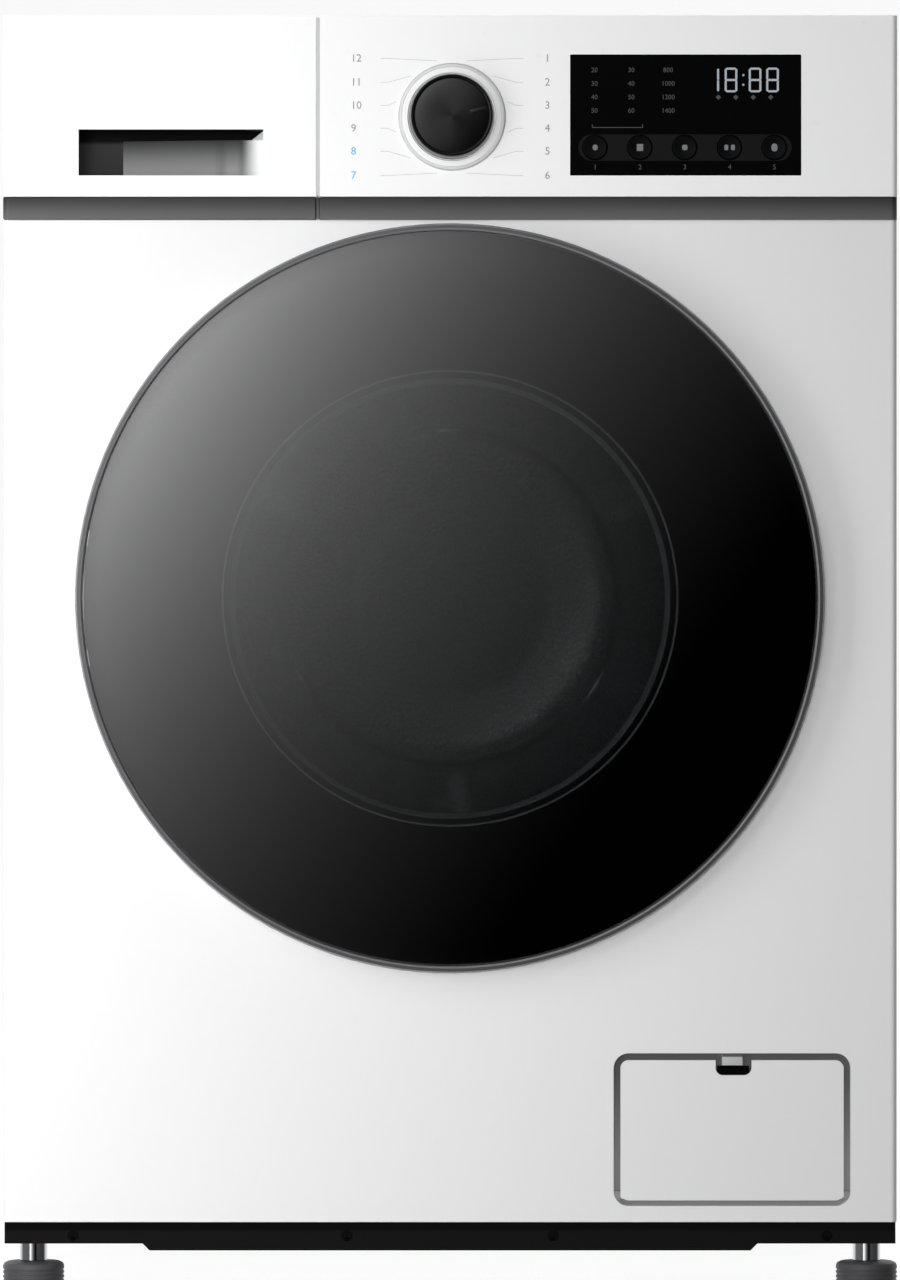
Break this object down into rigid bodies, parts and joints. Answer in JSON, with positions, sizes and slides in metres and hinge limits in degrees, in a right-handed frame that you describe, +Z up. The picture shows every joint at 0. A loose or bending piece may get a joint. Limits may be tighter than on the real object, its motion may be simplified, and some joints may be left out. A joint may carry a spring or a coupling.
{
  "type": "front load washing machine",
  "caption": "Freestanding front load washing machine with a round smoked glass door, detergent drawer, programme knob, display with keys, service flap and levelling feet.",
  "frame": {"origin": "on the floor under the middle of the machine's box", "axes": "+Z up, -Y towards the front with the door, +X to the right as seen from the front"},
  "size_m": [0.599, 0.598, 0.85],
  "materials": {
    "white_enamel": "smooth white enamel",
    "white_plastic": "white moulded plastic",
    "worktop_laminate": "white laminate with a fine grain",
    "zinc_steel": "zinc plated",
    "black_plastic": "black, semi gloss",
    "grey_plastic": "dark grey, satin",
    "bright_metal": "bright plated",
    "display_glass": "black, high gloss",
    "key_plastic": "black, satin",
    "smoked_glass": "smoked, polished",
    "clear_glass": "clear, polished",
    "pale_plastic": "pale grey moulded plastic",
    "tub_plastic": "filled grey plastic",
    "grey_rubber": "grey rubber",
    "black_rubber": "black rubber",
    "stainless_steel": "stainless, brushed",
    "cast_metal": "as cast",
    "concrete": "cast concrete",
    "board_resin": "green circuit board",
    "foot_plastic": "dark grey plastic on a plated stem"
  },
  "bodies": {
    "cabinet": {"cabinet_wrap": "white_enamel", "rear_cover": "zinc_steel", "worktop": "worktop_laminate", "front_panel": "white_enamel", "base_frame": "zinc_steel", "kick_plate": "black_plastic", "spring_rail": "zinc_steel", "control_fascia": "white_plastic", "accent_band": "grey_plastic", "dial_ring": "bright_metal", "display_window": "display_glass", "control_board": "board_resin", "dispenser_housing": "pale_plastic", "inlet_valve": "pale_plastic", "water_hoses": "grey_rubber", "filter_bay": "pale_plastic", "drain_pump": "pale_plastic", "drain_hoses": "grey_rubber", "door_lock": "black_plastic", "bellows": "grey_rubber", "hinge_bracket": "zinc_steel", "fasteners": "zinc_steel", "mains_gland": "black_plastic", "tub_front": "tub_plastic", "tub_rear": "tub_plastic", "counterweight_front": "concrete", "counterweight_top": "concrete", "bearings": "zinc_steel", "heater": "zinc_steel", "suspension_springs": "zinc_steel", "dampers": "zinc_steel", "motor": "zinc_steel", "drive_belt": "black_rubber"},
    "door": {"door_glass": "smoked_glass", "door_trim_ring": "bright_metal", "door_frame": "black_plastic", "door_back_ring": "white_plastic", "door_bowl": "clear_glass", "door_hinge_arm": "zinc_steel"},
    "door_hook": {"door_hook": "zinc_steel"},
    "drawer": {"drawer_front": "white_plastic", "drawer_band": "grey_plastic", "drawer_tray": "pale_plastic"},
    "knob": {"programme_knob": "black_plastic"},
    "drum": {"drum_shell": "stainless_steel", "drum_lifters": "pale_plastic", "drum_spider": "cast_metal", "drum_pulley": "cast_metal"},
    "motor_rotor": {"motor_pulley": "zinc_steel"},
    "flap": {"filter_flap": "white_plastic"},
    "filter": {"pump_filter": "pale_plastic"},
    "key_1": {"key_1": "key_plastic"},
    "key_2": {"key_2": "key_plastic"},
    "key_3": {"key_3": "key_plastic"},
    "key_4": {"key_4": "key_plastic"},
    "key_5": {"key_5": "key_plastic"},
    "foot_front_left": {"foot_front_left": "foot_plastic"},
    "foot_front_right": {"foot_front_right": "foot_plastic"},
    "foot_rear_left": {"foot_rear_left": "foot_plastic"},
    "foot_rear_right": {"foot_rear_right": "foot_plastic"}
  },
  "joints": [
    {"name": "door_swing", "type": "hinge", "parent": "cabinet", "child": "door", "pos_m": [-0.239, -0.2703, 0.4623], "axis": [0, 0, -1], "range_deg": [0, 130]},
    {"name": "hook_pivot", "type": "hinge", "parent": "door", "child": "door_hook", "pos_m": [0.198, -0.2665, 0.4623], "axis": [0, 0, -1], "range_deg": [0, 6], "stiffness_Nm_per_rad": 2, "springref_deg": -2.86},
    {"name": "drawer_slide", "type": "slide", "parent": "cabinet", "child": "drawer", "axis": [0, -1, 0], "range_m": [0, 0.2]},
    {"name": "knob_turn", "type": "hinge", "parent": "cabinet", "child": "knob", "pos_m": [0.0013, -0.263, 0.7824], "axis": [0, -1, 0], "continuous": true},
    {"name": "key_1_press", "type": "slide", "parent": "cabinet", "child": "key_1", "axis": [0, 1, 0], "range_m": [0, 0.001], "stiffness_N_per_m": 900, "springref_m": -0.0008},
    {"name": "key_2_press", "type": "slide", "parent": "cabinet", "child": "key_2", "axis": [0, 1, 0], "range_m": [0, 0.001], "stiffness_N_per_m": 900, "springref_m": -0.0008},
    {"name": "key_3_press", "type": "slide", "parent": "cabinet", "child": "key_3", "axis": [0, 1, 0], "range_m": [0, 0.001], "stiffness_N_per_m": 900, "springref_m": -0.0008},
    {"name": "key_4_press", "type": "slide", "parent": "cabinet", "child": "key_4", "axis": [0, 1, 0], "range_m": [0, 0.001], "stiffness_N_per_m": 900, "springref_m": -0.0008},
    {"name": "key_5_press", "type": "slide", "parent": "cabinet", "child": "key_5", "axis": [0, 1, 0], "range_m": [0, 0.001], "stiffness_N_per_m": 900, "springref_m": -0.0008},
    {"name": "drum_spin", "type": "hinge", "parent": "cabinet", "child": "drum", "pos_m": [0, 0, 0.4623], "axis": [0, 1, 0], "continuous": true},
    {"name": "motor_spin", "type": "hinge", "parent": "cabinet", "child": "motor_rotor", "pos_m": [0, 0.23, 0.135], "axis": [0, 1, 0], "continuous": true},
    {"name": "flap_tilt", "type": "hinge", "parent": "cabinet", "child": "flap", "pos_m": [0.18775, -0.254, 0.0647], "axis": [1, 0, 0], "range_deg": [0, 95]},
    {"name": "filter_turn", "type": "hinge", "parent": "cabinet", "child": "filter", "pos_m": [0.18775, -0.209, 0.1], "axis": [0, -1, 0], "range_deg": [0, 540]},
    {"name": "foot_front_left_screw", "type": "slide", "parent": "cabinet", "child": "foot_front_left", "axis": [0, 0, -1], "range_m": [0, 0.015]},
    {"name": "foot_front_right_screw", "type": "slide", "parent": "cabinet", "child": "foot_front_right", "axis": [0, 0, -1], "range_m": [0, 0.015]},
    {"name": "foot_rear_left_screw", "type": "slide", "parent": "cabinet", "child": "foot_rear_left", "axis": [0, 0, -1], "range_m": [0, 0.015]},
    {"name": "foot_rear_right_screw", "type": "slide", "parent": "cabinet", "child": "foot_rear_right", "axis": [0, 0, -1], "range_m": [0, 0.015]}
  ],
  "couplings": [
    {"joint": "motor_spin", "follows": "drum_spin", "ratio": 12.727}
  ]
}
